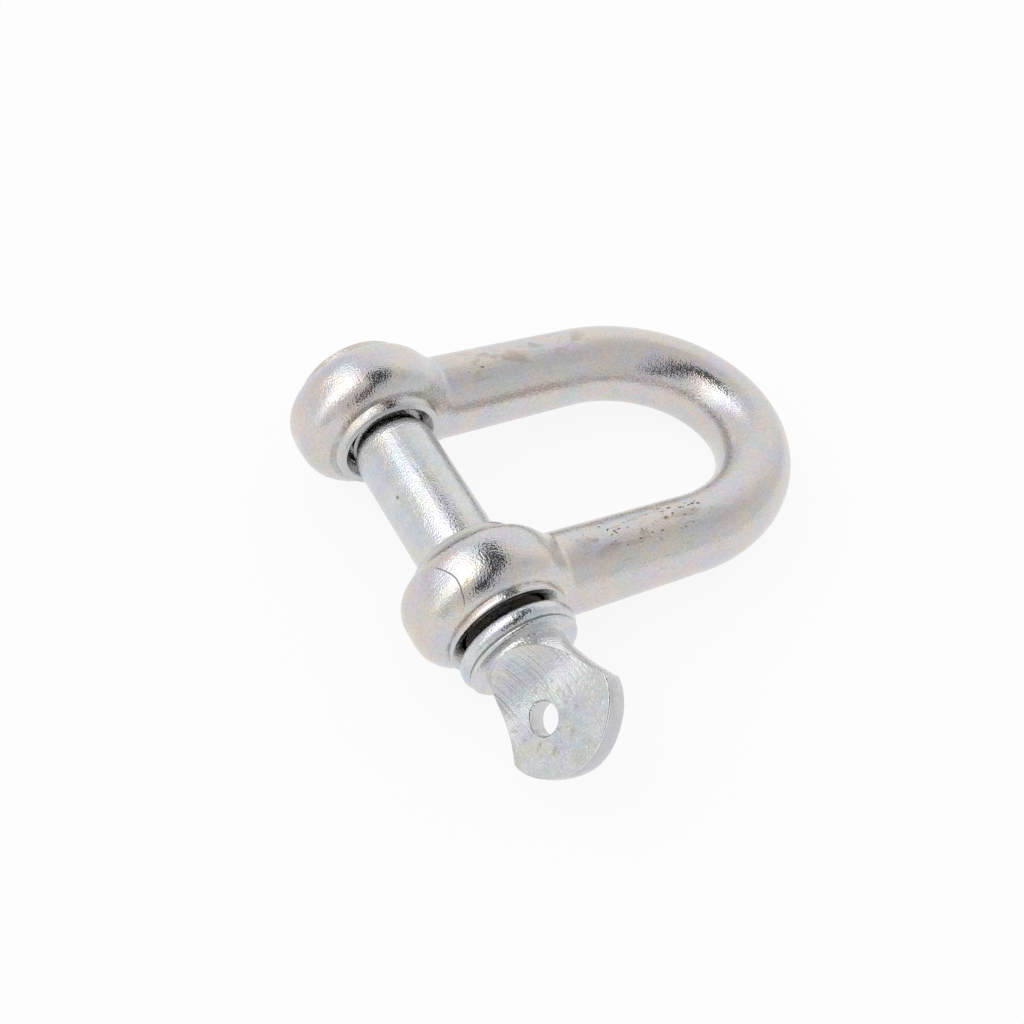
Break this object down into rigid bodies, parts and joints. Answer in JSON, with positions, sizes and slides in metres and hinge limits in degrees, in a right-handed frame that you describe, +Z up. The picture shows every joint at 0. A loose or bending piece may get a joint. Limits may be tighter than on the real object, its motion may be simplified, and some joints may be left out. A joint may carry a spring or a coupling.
{
  "type": "chain joining shackle",
  "caption": "Screw-pin dee shackle: a forged zinc-plated bow with ball eyes, closed by a threaded pin with a collar and a flattened, drilled spade head.",
  "frame": {"origin": "under the middle of the bounding box, on the bench that the shackle lies on", "axes": "+Z up from the bench; +X from the pin towards the crown; +Y along the pin, from its head towards its threaded end"},
  "size_m": [0.0978, 0.0944, 0.0298],
  "materials": {
    "forged_zinc": "forged steel, zinc plated, with a fine grain and faint passivation tints",
    "turned_zinc": "turned and forged steel, zinc plated, a little brighter and bluer than the dee"
  },
  "bodies": {
    "dee": {"dee_body": "forged_zinc"},
    "pin": {"screw_pin": "turned_zinc"}
  },
  "joints": [
    {"name": "pin_draw", "type": "slide", "parent": "dee", "child": "pin", "axis": [0, -1, 0], "range_m": [-0.0014, 0.066]}
  ]
}
